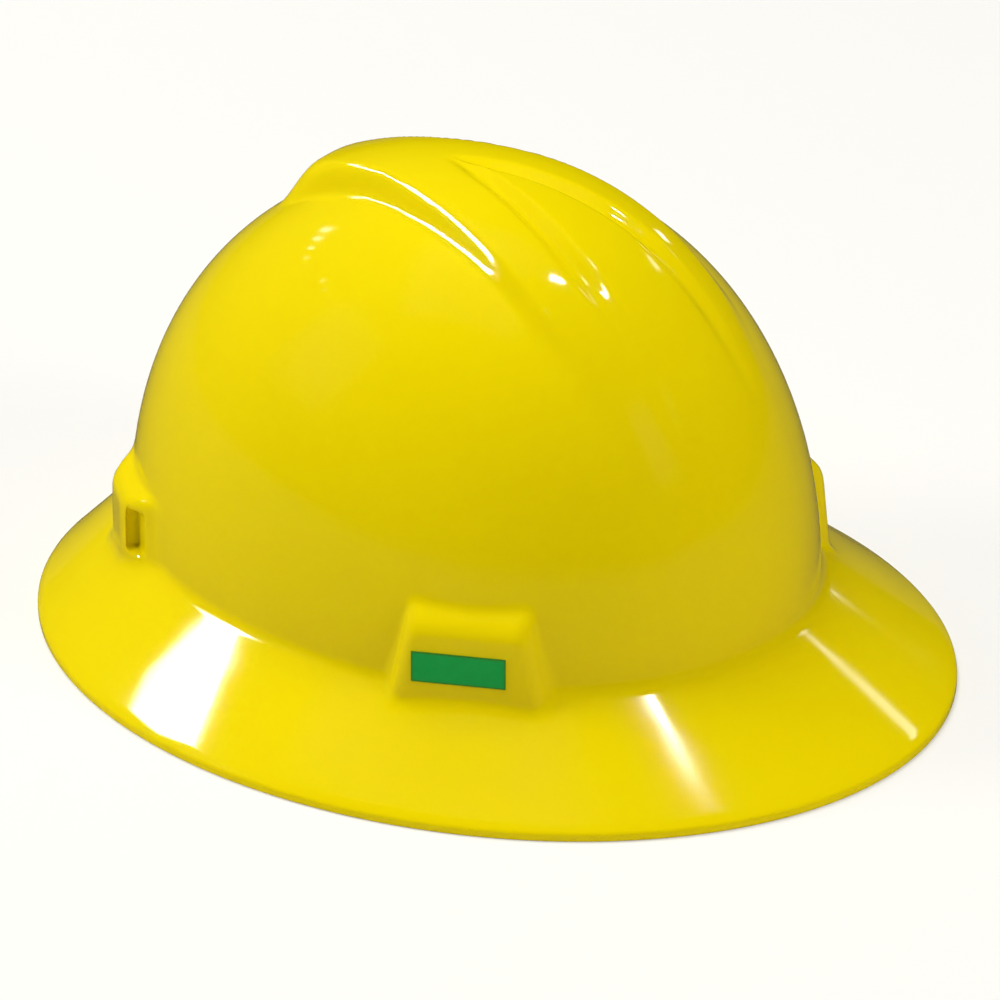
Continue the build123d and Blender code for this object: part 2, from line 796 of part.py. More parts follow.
knob = rod(axle, knob_radius, knob_start, knob_end)
rim_edges = [e for e in knob.edges() if e.geom_type == GeomType.CIRCLE]
outer_rim = sorted(rim_edges, key=lambda e: e.center().X)[0]
knob = chamfer([outer_rim], knob_edge_radius)
knob = knob - rod(axle, knob_radius - knob_skirt_wall, knob_start - running_gap, face_start)
knob = knob - rod(axle, knob_dish_radius, knob_end - knob_dish_depth, knob_end + overrun)
hub_bore = Rectangle(2 * (drive_half + running_gap), 2 * (drive_half + running_gap))
hub = rod(axle, spring_hub_radius, spring_end + spring_side_gap, face_start)
knob = knob + hub - axle.offset(knob_start) * extrude(hub_bore, drive_end + running_gap - knob_start)
head_seat = knob_end - knob_dish_depth
knob = knob - rod(axle, screw_radius + running_gap, knob_start, knob_end + overrun)
save(knob, "ratchet_knob")

grip_mid = (face_start + knob_end - knob_edge_radius) / 2
grip_inner = knob_radius
grip_plan = Circle(grip_inner + grip_thickness - grip_rib_height)
for index in range(grip_ribs):
    rib = Rot(0, 0, 360 * index / grip_ribs) * Pos(grip_inner + grip_thickness - grip_rib_radius, 0)
    grip_plan = grip_plan + rib * Circle(grip_rib_radius)
grip_plan = grip_plan - Circle(grip_inner)
grip = axle.offset(grip_mid - grip_half_length) * extrude(grip_plan, 2 * grip_half_length)
save(grip, "knob_grip")

knob_screw = rod(axle, screw_radius, drive_end - screw_length + running_gap, head_seat)
knob_screw = knob_screw + rod(axle, screw_head_radius, head_seat, head_seat + screw_head_thickness)
socket = axle.offset(head_seat + screw_head_thickness / 2) * extrude(
    Rectangle(screw_head_radius, driver_slot_width) + Rectangle(driver_slot_width, screw_head_radius), overrun)
knob_screw = knob_screw - socket
save(knob_screw, "knob_screw")
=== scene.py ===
# %% [markdown]
# # A full brim hard hat
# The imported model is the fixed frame: every piece below is placed in its metres, with +X to the front,
# +Y to the wearer's left and +Z up. The rigid pieces of the suspension keep their own meshes and get
# materials. The moulded shell, the webbing and the brow pad are surfaces worked out here, because a glossy
# moulding shows every bend in its reflections and soft goods need their real form.

import json
import math

import bpy
import numpy as np
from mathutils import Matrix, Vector


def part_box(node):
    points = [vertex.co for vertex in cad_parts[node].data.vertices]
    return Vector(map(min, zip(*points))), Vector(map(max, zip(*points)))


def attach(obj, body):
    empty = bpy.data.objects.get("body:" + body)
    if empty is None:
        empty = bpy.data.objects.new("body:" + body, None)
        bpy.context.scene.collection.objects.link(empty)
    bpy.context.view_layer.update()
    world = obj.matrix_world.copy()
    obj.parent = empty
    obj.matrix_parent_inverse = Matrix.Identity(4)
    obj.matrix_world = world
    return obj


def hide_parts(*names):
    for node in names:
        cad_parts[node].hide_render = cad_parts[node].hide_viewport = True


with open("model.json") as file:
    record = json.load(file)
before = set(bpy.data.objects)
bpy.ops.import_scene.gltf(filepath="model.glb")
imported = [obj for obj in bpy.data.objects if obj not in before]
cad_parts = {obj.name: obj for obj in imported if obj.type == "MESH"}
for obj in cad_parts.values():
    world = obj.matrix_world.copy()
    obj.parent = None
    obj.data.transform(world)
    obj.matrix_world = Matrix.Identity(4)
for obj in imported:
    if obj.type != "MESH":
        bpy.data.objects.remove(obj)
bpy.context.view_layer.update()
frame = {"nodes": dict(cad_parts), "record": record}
mm = 0.001

# %% [markdown]
# ## Sizes that several pieces share
# The shell's overall size comes from the frame. The other sizes are the moulding's own, in millimetres
# times `mm`: the crown's plan is half an ellipse in front and another behind, and four lugs stand on it.

# %% Shared sizes
shell_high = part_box("shell")[1]
brim_half_length = shell_high.x
brim_half_width = shell_high.y
crown_front = 109.5 * mm
crown_rear = 129.2 * mm
crown_half_width = 94.2 * mm
crown_base = 31.4 * mm
crown_rise = 125.2 * mm
plan_power_share = 2.19
rise_power_share = 2.09
shell_wall = 2.4 * mm
lug_angles = {"front_left": 59.5, "front_right": -59.5, "rear_left": 138.2, "rear_right": -138.2}
print("brim", round(2 * brim_half_length, 4), "by", round(2 * brim_half_width, 4), "m")

# %% [markdown]
# ## Camera
# The photograph was taken from the hat's right front, a little above it, with a long lens: the brim's
# far side is hardly smaller than its near side. A 391 mm lens 3.45 m away gives the same outline.

# %% Camera
camera_place = (1.9504, -2.4086, 1.5676)
camera_target = (0.0023, 0.0, 0.0491)
camera_lens = 390.9
camera_data = bpy.data.cameras.new("camera")
camera_data.lens = camera_lens
camera_data.sensor_width = 36.0
camera_data.clip_start = 0.1
camera_data.clip_end = 60.0
camera = bpy.data.objects.new("camera", camera_data)
bpy.context.scene.collection.objects.link(camera)


def aim(obj, place, target):
    """Puts an object at a place and turns its -Z axis to the target, with +Y up."""
    way = Vector(target) - Vector(place)
    obj.location = place
    obj.rotation_mode = "QUATERNION"
    obj.rotation_quaternion = way.to_track_quat("-Z", "Y")


aim(camera, camera_place, camera_target)
bpy.context.scene.camera = camera
bpy.context.scene.view_settings.view_transform = "Standard"
print("camera at", camera_place)

# %% [markdown]
# ## Nodes and colours
# Each material is a small graph. One function adds a node with its settings and its links, and another
# turns the hex value that a colour picker shows into the linear light that a renderer adds up.

# %% Helpers for materials


def linear(code):
    """sRGB hex to linear RGBA: v / 12.92 below 0.04045, else ((v + 0.055) / 1.055) to the power 2.4."""
    values = [int(code[i:i + 2], 16) / 255 for i in (1, 3, 5)]
    return [v / 12.92 if v <= 0.04045 else ((v + 0.055) / 1.055) ** 2.4 for v in values] + [1.0]


def add_node(tree, kind, inputs=None, **settings):
    """Adds one node: settings are its own fields, and inputs are values or sockets by input name or
    number."""
    made = tree.nodes.new(kind)
    for field, value in settings.items():
        setattr(made, field, value)
    for key, value in (inputs or {}).items():
        socket = made.inputs[key]
        if isinstance(value, bpy.types.NodeSocket):
            tree.links.new(value, socket)
        else:
            socket.default_value = value
    return made


def new_material(name):
    """An empty node material with its Principled shader, returned as material, tree and shader."""
    material = bpy.data.materials.new(name)
    material.use_nodes = True
    tree = material.node_tree
    return material, tree, tree.nodes["Principled BSDF"]


def per_metre(size):
    """The Scale of a texture whose features are this many metres apart."""
    return 1.0 / size


print("a mid grey is", round(linear("#808080")[0], 3), "in linear light")

# %% [markdown]
# ## Floor, background and light
# The hat stands on a pale floor under three large soft lamps, two of them a little warm. The floor adds
# some light of its own for the camera alone, so that it meets the white background, and it still darkens
# under the brim. What the gloss shows is a dimmer room with one pale side, because a room that is white
# all round would wash the yellow out. Small lamps, seen in the gloss alone, stand for its windows. The
# ones close to the hat shine through grids, so that the brim and the crest catch them and the crown
# doesn't.

# %% Floor and world
floor_half = 6.0
floor_drop = 0.02 * mm
paper_glow = 0.42
floor_mesh = bpy.data.meshes.new("floor")
corners = [(x * floor_half, y * floor_half, -floor_drop) for x, y in ((-1, -1), (1, -1), (1, 1), (-1, 1))]
floor_mesh.from_pydata(corners, [], [(0, 1, 2, 3)])
floor = bpy.data.objects.new("floor", floor_mesh)
bpy.context.scene.collection.objects.link(floor)

floor_material, tree, shader = new_material("matt_white_paper")
rays = add_node(tree, "ShaderNodeLightPath").outputs
seen = add_node(tree, "ShaderNodeMix", {
    0: rays["Is Camera Ray"], 6: linear("#F0F0EE"), 7: linear("#BFBFBD")}, data_type="RGBA")
paper = add_node(tree, "ShaderNodeMix", {
    0: rays["Is Glossy Ray"], 6: seen.outputs[2], 7: linear("#4A4A48")}, data_type="RGBA")
tree.links.new(paper.outputs[2], shader.inputs["Base Color"])
shader.inputs["Roughness"].default_value = 0.9
glow = add_node(tree, "ShaderNodeMath", {0: rays["Is Camera Ray"], 1: paper_glow}, operation="MULTIPLY")
shader.inputs["Emission Color"].default_value = (1, 1, 1, 1)
tree.links.new(glow.outputs[0], shader.inputs["Emission Strength"])
floor_mesh.materials.append(floor_material)

pale_wall = (-0.85, -0.03, 0.53)
wall_from, wall_to = 0.55, 0.99
room_gloss, wall_gloss = 0.08, 0.9
room_fill = 0.5
world = bpy.data.worlds.new("studio")
bpy.context.scene.world = world
world.use_nodes = True
tree = world.node_tree
rays = add_node(tree, "ShaderNodeLightPath").outputs
shown = add_node(tree, "ShaderNodeMath", {0: rays["Is Camera Ray"], 1: rays["Is Transmission Ray"]},
                 operation="MAXIMUM")
way = add_node(tree, "ShaderNodeTexCoord").outputs["Generated"]
wall = add_node(tree, "ShaderNodeVectorMath", {0: way, 1: pale_wall}, operation="DOT_PRODUCT")
glow = add_node(tree, "ShaderNodeMapRange", {
    0: wall.outputs["Value"], 1: wall_from, 2: wall_to, 3: room_gloss, 4: wall_gloss},
    interpolation_type="SMOOTHSTEP")
dim = add_node(tree, "ShaderNodeMix", {0: rays["Is Glossy Ray"], 2: room_fill, 3: glow.outputs[0]})
strength = add_node(tree, "ShaderNodeMix", {0: shown.outputs[0], 2: dim.outputs[0], 3: 1.0})
tree.links.new(strength.outputs[0], tree.nodes["Background"].inputs["Strength"])
print("floor and world made")

# %% [markdown]
# ## Lamps
# A polished moulding mirrors its lamps as sharp bright shapes, which tell the eye where it bends. They could
# be painted into the colour, but then they would stay put when the hat turns. So the shading and the shapes
# have lamps of their own: three large ones light the colour and are kept out of the gloss, and small ones
# show in the gloss alone. Two rows of little lamps follow the crest's edge and draw its two bright lines,
# which broaden and brighten towards the forehead.

# %% Lamps
hat_middle = (0.0, 0.0, 0.08)
far_away = 3.0
near_by = 0.35
warm_white = "#FFF3DC"


def lamp(name, azimuth, elevation, width, height, brightness, target=hat_middle, distance=far_away,
         spread=None, code="#FFFFFF"):
    """A rectangular soft lamp in a direction given in degrees, shining at its target. Its power is its
    brightness times area times pi. Without a spread it lights the matt colour. With one it is seen in the
    gloss alone, through a grid that narrows its beam to that angle and its power by the tangent of half
    the angle, squared."""
    data = bpy.data.lights.new(name, "AREA")
    data.shape = "RECTANGLE"
    data.size = width
    data.size_y = height
    data.energy = brightness * width * height * math.pi
    data.color = linear(code)[:3]
    if spread:
        data.spread = math.radians(spread)
        data.energy *= min(1.0, math.tan(data.spread / 2) ** 2)
    obj = bpy.data.objects.new(name, data)
    bpy.context.scene.collection.objects.link(obj)
    obj.visible_camera = False
    obj.visible_glossy = bool(spread)
    obj.visible_diffuse = not spread
    turn, lift = math.radians(azimuth), math.radians(elevation)
    way = (math.cos(lift) * math.cos(turn), math.cos(lift) * math.sin(turn), math.sin(lift))
    aim(obj, [c + distance * w for c, w in zip(target, way)], target)


lamp("top_lamp", -169, 77, 2.2, 2.2, 5.8)
lamp("left_lamp", -141, 29, 1.1, 1.4, 7.2, code=warm_white)
lamp("front_lamp", 5, 26, 0.9, 1.2, 10.0, code=warm_white)
lamp("side_window", 82, 31, 0.25, 0.12, 1.0, spread=90)
lamp("far_window", 99, 14, 0.14, 0.10, 1.8, spread=90)
lamp("ceiling_lamp", 42, 73, 0.12, 0.24, 15.0, spread=90)
pane_by = near_by - 10 * mm
brim_spot = (-0.045, -0.12, 0.012)
ridge_spot = (0.057, -0.010, 0.143)
lamp("brim_window", -165, 40, 0.10, 0.08, 11.0, brim_spot, near_by, 26)
lamp("brim_pane", -164, 41, 0.062, 0.055, 21.0, brim_spot, pane_by, 26)
lamp("ridge_lamp", -50, 65, 0.03, 0.03, 60.0, ridge_spot, near_by, 4.0)

# Azimuth, height, brightness, spread and spot at the two ends of a row. Its last two places stay dark.
crest_first = np.array([164, 0.03, 4, 4.2, -0.045, -0.013, 0.157])
crest_last = np.array([243, 0.05, 36, 8.2, 0.025, -0.030, 0.157])
crest_rows = {"low": (27, 0.0), "high": (33, 0.3)}
crest_places = 18
for number in range(crest_places - 2):
    share = number / (crest_places - 1)
    azimuth, height, brightness, spread, *spot = crest_first + (crest_last - crest_first) * share
    for row, (elevation, first_share) in crest_rows.items():
        if share >= first_share:
            lamp(f"crest_{row}_{number}", azimuth, elevation, 0.04, height, brightness, spot, near_by, spread)

# %% [markdown]
# ## The shell as one surface
# The real shell is one moulding of high density polyethylene: brim, crown, crest and four hollow lugs.
# It could be cut and filleted from solids, but its soft ridges and blended corners are easier to say as
# formulas. Every ring of the grid lies at one height, and every column runs up the hat at one angle of
# the plan ellipse. A point is found in three steps: the crown and brim give a base point, the lugs push
# it outwards, and the crest lifts it along the surface's normal.

# %% Crown and brim formulas
junction_corner = crown_base
junction_radius = 5.5 * mm
lip_height = 3.0 * mm


def plan(theta, inset=0.0):
    """The crown's outline: (reach cos theta, half width sin theta), with one reach in front and one
    behind."""
    reach = np.where(np.cos(theta) > 0, crown_front, crown_rear) - inset
    return reach * np.cos(theta), (crown_half_width - inset) * np.sin(theta)


def outward(theta):
    """The level unit way from the crown's outline to the brim's, and the distance between the two."""
    x, y = plan(theta)
    dx = brim_half_length * np.cos(theta) - x
    dy = brim_half_width * np.sin(theta) - y
    run = np.hypot(dx, dy)
    return dx / run, dy / run, run


def crown_share(z, inset=0.0):
    """How much of the base outline the crown keeps at a height: cos(a) to the power 2 / p, where
    sin(a) is the height's share of the rise, to the power q / 2."""
    share = np.clip((z - crown_base) / (crown_rise - inset), 0.0, 1.0)
    sine = np.clip(share ** (rise_power_share / 2), 0.0, 1.0)
    return np.sqrt(1.0 - sine ** 2) ** (2 / plan_power_share)


def flare(z, run, start, corner, radius, low=lip_height):
    """Distance out from the crown's outline at a height: start up the wall, then a circle's arc of this
    radius, then a straight slope that reaches run at the height low."""
    slope = (run - start) / (corner - low)
    turn = np.arctan(slope)
    arc_top = corner + radius * np.tan(turn / 2)
    below = np.clip(arc_top - z, 0.0, None)
    arc = start + radius - np.sqrt(np.clip(radius ** 2 - np.minimum(below, radius) ** 2, 0.0, None))
    straight = start + (corner - z) * slope
    return np.where(below < radius * np.sin(turn), arc, straight)


print("crown keeps", round(float(crown_share(np.array(0.1))), 3), "of its outline 100 mm up")

# %% [markdown]
# ## Lugs
# Each lug is a hollow box with a slanted top and splayed sides, drafted so that the mould lets go of it.
# A signed distance says it shortly: the largest of the distances to its planes, with the corners rounded
# by a smooth maximum. Where the lug meets the crown, a smooth minimum of the two distances makes the
# fillet.

# %% Lug formulas
front_lug = {"proud": 4.5 * mm, "half": 18.0 * mm, "top": 52.7 * mm, "spread": 7.0 * mm,
             "pocket": 15.2 * mm, "flare_share": 0.4, "slope_share": 0.8,
             "flank": np.arange(-1.6, 3.6, 0.26) * mm}
rear_lug = {"proud": 6.5 * mm, "half": 10.5 * mm, "top": 48.7 * mm, "spread": 1.0 * mm,
            "pocket": 7.7 * mm, "flare_share": 1.3, "slope_share": 0.35,
            "flank": np.arange(-1.6, 9.6, 0.36) * mm}
lugs = {name: front_lug if "front" in name else rear_lug for name in lug_angles}
lug_floor = 22.5 * mm
lug_root = 12.0 * mm
lug_round = 3.6 * mm
fillet_heights = np.array([34.0, 46.0]) * mm
fillet_sizes = np.array([3.0, 1.4]) * mm


def smooth_min(a, b, reach):
    """min(a, b) less a quarter of reach times h squared, where h is the share of reach left between
    them."""
    h = np.clip(1.0 - np.abs(a - b) / reach, 0.0, None)
    return np.minimum(a, b) - h * h * reach / 4


def smooth_max(a, b, reach):
    """The same rounding turned over: -smooth_min(-a, -b)."""
    return -smooth_min(-a, -b, reach)


def lug_frame(angle):
    """A lug's point on the crown's outline, its outward normal and its level tangent."""
    theta = np.radians(angle)
    x, y = plan(np.array(theta))
    reach = crown_front if abs(angle) < 90 else crown_rear
    normal = np.array([np.cos(theta) / reach, np.sin(theta) / crown_half_width])
    normal = normal / np.hypot(*normal)
    return np.array([float(x), float(y)]), normal, np.array([-normal[1], normal[0]])


def lug_half(lug, z):
    """Half the outer face's width, which narrows evenly from the foot to the top."""
    share = (lug["top"] - z) / (lug["top"] - lug_floor)
    return lug["half"] + lug["spread"] * share


def lug_distance(lug, t, z, n):
    """Distance outside a lug, from the distances to its face, its root, its slanted top and its two
    splayed sides."""
    depth = lug["proud"] - n
    face = np.maximum(-depth, -lug_root - n)
    top = (z - lug["top"] - lug["slope_share"] * depth) / math.hypot(1, lug["slope_share"])
    side = (np.abs(t) - lug_half(lug, z) - lug["flare_share"] * depth) / math.hypot(1, lug["flare_share"])
    return smooth_max(smooth_max(face, top, lug_round), side, lug_round)


for name, angle in lug_angles.items():
    print(name, "lug at", np.round(lug_frame(angle)[0], 4), "m")

# %% [markdown]
# ## Columns and rings
# The columns stand evenly round the hat, and closer where the sides of a lug are steep. Beside a lug the
# outer columns also lean in with its taper, so that its edges run along the grid and stay crisp. The rings
# are close where the lugs end and where the brim bends into the crown.

# %% Columns
low_columns = 232
dome_columns = 360
inner_columns = 216
shoulder = np.arange(0.7, 4.0, 0.8) * mm
hair = 0.05 * mm
lean_height = 38.0 * mm
lean_start = 8.0 * mm
lean_end = 26.0 * mm
mark_room = np.radians(0.35)
tables = {}
for name, angle in lug_angles.items():
    point, normal, tangent = lug_frame(angle)
    fine = np.radians(np.linspace(angle - 40, angle + 40, 801))
    x, y = plan(fine)
    tables[name] = (fine, (x - point[0]) * tangent[0] + (y - point[1]) * tangent[1])


def column_angles(count, marks):
    """Even angles round the hat, with those near a mark dropped and the marks themselves added."""
    even = np.radians(np.linspace(-180, 180, count, endpoint=False))
    special = [np.interp(marks[name], along, fine) for name, (fine, along) in tables.items()]
    special = np.sort(np.concatenate(special))
    nearest = np.abs(even[:, None] - special[None, :]).min(1)
    return np.sort(np.concatenate([even[nearest > mark_room], special]))


outer_marks = {}
inner_marks = {}
for name, lug in lugs.items():
    flank = lug_half(lug, lean_height) + lug["flank"]
    side = np.concatenate([flank[0] - shoulder[::-1], flank, flank[-1] + shoulder])
    edge = np.array([lug["pocket"] - hair, lug["pocket"] + hair])
    outer_marks[name] = np.concatenate([-side[::-1], side])
    inner_marks[name] = np.concatenate([-edge[::-1], edge])
outer_angles = column_angles(low_columns, outer_marks)
inner_angles = column_angles(inner_columns, inner_marks)
dome_angles = np.radians(np.linspace(-180, 180, dome_columns, endpoint=False))
print("columns", len(outer_angles), "low,", len(dome_angles), "on the dome,", len(inner_angles), "inside")

# %% [markdown]
# On the dome the rings follow the profile's own angle, which keeps the cells even where the crown turns
# level and the gloss would show every step. Below it, each run of rings has the pitch that its form needs.

# %% Rings


def dome_heights(first, count, inset=0.0):
    """Heights of rings that lie evenly along the crown's profile, from a first height to near the pole."""
    rise = crown_rise - inset
    start = math.asin(((first - crown_base) / rise) ** (rise_power_share / 2))
    angle = np.linspace(start, math.pi / 2, count + 1)[:-1]
    return crown_base + rise * np.sin(angle) ** (2 / rise_power_share)


dome_first = 64.0 * mm
dome_count = 88
brim_rows = np.linspace(3.6, 21.0, 11) * mm
foot_rows = np.concatenate([np.arange(22.0, 36.0, 0.65), np.arange(36.0, 49.0, 1.3)]) * mm
top_rows = np.concatenate([np.arange(49.4, 58.6, 0.6), np.arange(59.2, 63.6, 1.2)]) * mm
low_rows = np.concatenate([brim_rows, foot_rows, top_rows])
dome_rows = dome_heights(dome_first, dome_count)
pocket_low = 27.0 * mm
pocket_high = 46.0 * mm
pocket_edges = np.array([pocket_low - hair, pocket_low + hair, pocket_high - hair, pocket_high + hair])
even_rows = np.concatenate([np.linspace(0.6, 26.0, 14), np.linspace(29, 44, 8), np.linspace(48, 62, 6)])
inner_rows = np.concatenate([np.sort(np.concatenate([even_rows * mm, pocket_edges])),
                             dome_heights(dome_first, dome_count // 2, shell_wall)])
print("rings", len(low_rows) + len(dome_rows), "outside and", len(inner_rows), "inside")

# %% [markdown]
# ## Crest
# Three ridges run from the back of the crown to the front. On the real mould they are the crown's own
# surface, lifted and set back inside a wedge, so they stand highest at the back and fade out on the
# forehead. Two grooves part them. The lift here is the part of that shift which points along the normal.

# %% Crest formulas
crest_shift = np.array([-6.0, 0.0, 6.5]) * mm
crest_knots = np.array([-90.0, -70.0, -55.0, -33.0, -10.0, 11.0, 23.0, 45.0, 66.0, 75.0, 92.0, 120.0]) * mm
crest_halves = np.array([12.0, 13.5, 14.0, 17.5, 23.7, 29.0, 31.7, 36.0, 36.5, 34.0, 31.0, 28.0]) * mm
crest_tail = -70.5 * mm
side_run = 7.5 * mm
tail_run = 20.0 * mm
corner_share = 0.8
fade_softness = 1.2 * mm
groove_knots = np.array([-17.0, 0.0, 19.0, 42.0, 60.0, 74.0, 92.0]) * mm
groove_line = np.array([0.0, 4.3, 9.5, 15.1, 17.3, 18.4, 19.0]) * mm
groove_depths = np.array([0.0, 2.6, 3.0, 2.4, 1.5, 0.8, 0.0]) * mm
groove_halves = np.array([2.5, 4.0, 5.0, 5.5, 5.5, 5.5, 5.0]) * mm


def step(value):
    """0 below 0, 1 above 1, and 3 v squared less 2 v cubed between."""
    v = np.clip(value, 0.0, 1.0)
    return v * v * (3 - 2 * v)


def crest_share(x, y):
    """1 inside the wedge's outline and 0 outside, with a soft edge between."""
    side = (np.interp(x, crest_knots, crest_halves) - np.abs(y)) / side_run
    tail = (x - crest_tail) / tail_run
    return step(smooth_min(side, tail, corner_share) + 0.5)


def crest_lift(x, y, normals):
    """Height of the crest over the crown: the shift's share along the normal, faded to nothing where it
    turns negative, times the wedge's share, less the two grooves."""
    along = normals @ crest_shift
    rise = (along + np.sqrt(along ** 2 + fade_softness ** 2)) / 2
    beside = np.abs(np.abs(y) - np.interp(x, groove_knots, groove_line))
    groove = step(1 - beside / np.interp(x, groove_knots, groove_halves))
    return crest_share(x, y) * rise - groove * np.interp(x, groove_knots, groove_depths)


print("crest shift", np.round(crest_shift / mm, 2), "mm")

# %% [markdown]
# ## The grid of points
# The functions come together here. Each side of the shell is an array of points by ring and column. The
# lug's surface along a column is where its distance is zero, found by halving an interval, for the whole
# array at once. The normals for the crest come from the neighbours in the array.

# %% Points of the shell
recess_floor = 10.2 * mm
recess_reach = 24.0 * mm
recess_middle = np.array([2.9, 38.5]) * mm
recess_size = np.array([2.3, 7.5]) * mm
recess_round = 1.6 * mm
recess_rim = 0.5 * mm
lip_land = 2.8 * mm
inner_corner = 29.6 * mm
search_back, search_out, halvings = 1.0 * mm, 16.0 * mm, 26
crest_fade = 10.0 * mm


def lean_columns(theta, z):
    """Turns the columns beside each lug in or out with its taper, fading out away from the lug's sides."""
    turned = np.broadcast_to(theta, z.shape).copy()
    for name, (fine, along) in tables.items():
        lug = lugs[name]
        shift = lug_half(lug, np.clip(z, lug_floor, lug["top"])) - lug_half(lug, lean_height)
        t = np.interp(theta, fine, along, left=1.0, right=1.0)
        far = lug["half"] + lean_end
        fade = step((far - np.abs(t)) / (lean_end - lean_start))
        ramp = np.sign(t) * np.clip(np.abs(t) / lean_start, 0, 1) * fade
        turned = np.where(np.abs(t) < far, np.interp(t + shift * ramp, along, fine), turned)
    return turned


def lug_reach(theta, z, base):
    """Distance out along each column, where the lugs push the base surface outwards."""
    ex, ey = plan(theta)
    share = crown_share(z)
    vx, vy, _ = outward(theta)
    reach = base.copy()
    fillet = np.interp(z, fillet_heights, fillet_sizes)
    for name, angle in lug_angles.items():
        point, normal, tangent = lug_frame(angle)
        low, high = base - search_back, base + search_out
        for _ in range(halvings):
            middle = (low + high) / 2
            x, y = ex * share + middle * vx - point[0], ey * share + middle * vy - point[1]
            t, n = x * tangent[0] + y * tangent[1], x * normal[0] + y * normal[1]
            distance = lug_distance(lugs[name], t, z, n)
            outside = smooth_min(distance, middle - base, fillet) > 0
            high = np.where(outside, middle, high)
            low = np.where(outside, low, middle)
        reach = np.maximum(reach, high)
    return reach


def pocket_reach(theta, z, base):
    """Distance out along each column on the inside, where the sockets in the lugs are sunk to a flat
    floor."""
    ex, ey = plan(theta, shell_wall)
    share = crown_share(z, shell_wall)
    vx, vy, _ = outward(theta)
    reach = base.copy()
    for name, angle in lug_angles.items():
        point, normal, tangent = lug_frame(angle)
        x, y = ex * share - point[0], ey * share - point[1]
        floor = lugs[name]["proud"] - shell_wall
        deep = (floor - (x * normal[0] + y * normal[1])) / (vx * normal[0] + vy * normal[1])
        bare = (x + base * vx) * tangent[0] + (y + base * vy) * tangent[1]
        near = (np.abs(x) + np.abs(y)) < 3 * lugs[name]["pocket"]
        hole = (np.abs(bare) < lugs[name]["pocket"]) & (z > pocket_low) & (z < pocket_high) & near
        reach = np.where(hole, np.maximum(deep, base), reach)
    return reach


def recess(points):
    """Sinks the forward side of each rear lug to a flat floor, inside a rounded rectangle's outline. The
    distance outside that outline is the length of (|n| - width, |z| - height) where both are positive."""
    for name in ("rear_left", "rear_right"):
        point, normal, tangent = lug_frame(lug_angles[name])
        side = -1 if lug_angles[name] > 0 else 1
        level = points[..., :2] - point
        t = side * (level @ tangent)
        away = np.abs(np.stack([level @ normal, points[..., 2]], axis=-1) - recess_middle)
        over = away - recess_size + recess_round
        corner = np.hypot(*np.moveaxis(np.maximum(over, 0), -1, 0))
        edge = corner + np.minimum(over.max(-1), 0) - recess_round
        deep = step(0.5 - edge / (2 * recess_rim)) * ((t > recess_floor) & (t < recess_reach))
        points[..., :2] += (side * deep * (recess_floor - t))[..., None] * tangent
    return points


def grid_normals(points):
    """Unit normals of a closed ring grid: the cross product of the ways round and up."""
    wrapped = np.concatenate([points[:, -1:], points, points[:, :1]], axis=1)
    normals = np.cross(wrapped[:, 2:] - wrapped[:, :-2], np.gradient(points, axis=0))
    return normals / np.maximum(np.linalg.norm(normals, axis=2, keepdims=True), 1e-12)


def shell_side(angles, rows, inset):
    """Points of the shell's outer side, or of its inner side where inset is the wall's thickness."""
    z = np.broadcast_to(rows[:, None], (len(rows), len(angles))).copy()
    theta = np.broadcast_to(angles[None, :], z.shape)
    if inset == 0:
        theta = lean_columns(theta, z)
    ex, ey = plan(theta, inset)
    vx, vy, run = outward(theta)
    share = crown_share(z, inset)
    if inset == 0:
        out = lug_reach(theta, z, flare(z, run, 0.0, junction_corner, junction_radius))
    else:
        base = flare(z, run - lip_land + inset, 0.0, inner_corner, junction_radius + inset, 0.0)
        out = pocket_reach(theta, z, base)
    points = np.stack([ex * share + out * vx, ey * share + out * vy, z], axis=2)
    if inset == 0:
        points = recess(points)
    normals = grid_normals(points)
    lift = crest_lift(points[..., 0], points[..., 1], normals) * step((z - dome_first) / crest_fade)
    return points + lift[..., None] * normals


low_side = shell_side(outer_angles, low_rows, 0.0)
dome_side = shell_side(dome_angles, dome_rows, 0.0)
inner_side = shell_side(inner_angles, inner_rows, shell_wall)
print("outer side", low_side.shape, dome_side.shape, "inner side", inner_side.shape)

# %% [markdown]
# The lip is the brim's rolled edge. Its section is a few points with two small rounds, carried round the
# brim's ellipse. The rings of the outer skin are close beside the lugs and even on the dome, so where two
# rings have different columns a band of triangles joins them like a zip.

# %% Lip and the closed mesh
lip_round = 0.9 * mm
lip_edge = np.array([(0.0, 2.2), (-0.1, 2.7), (-0.4, 3.1)]) * mm


def lip_rings():
    """Rings of the lip from its inner land, round the bottom edge and up the outside to the brim's
    slope."""
    vx, vy, run = outward(outer_angles)
    ex, ey = plan(outer_angles)
    turns = np.radians(np.linspace(0, 90, 5))
    section = [(-lip_land / 2, 0.0)]
    section += [(-lip_round + lip_round * math.sin(a), lip_round - lip_round * math.cos(a)) for a in turns]
    rings = []
    for inwards, height in section + lip_edge.tolist():
        out = run + inwards
        rings.append(np.stack([ex + out * vx, ey + out * vy, np.full_like(ex, height)], axis=1))
    return np.array(rings)


def land_ring():
    """The inner edge of the lip's flat underside, with the inner side's columns."""
    vx, vy, run = outward(inner_angles)
    ex, ey = plan(inner_angles)
    out = run - lip_land
    return np.stack([ex + out * vx, ey + out * vy, np.zeros_like(ex)], axis=1)[None]


def ring_faces(rings, count, first=0):
    """Quads between neighbouring rings of a grid that closes on itself, facing outwards."""
    index = first + np.arange(rings * count).reshape(rings, count)
    right = np.roll(index, -1, axis=1)
    quads = np.stack([index[:-1], right[:-1], right[1:], index[1:]], axis=-1)
    return quads.reshape(-1, 4)


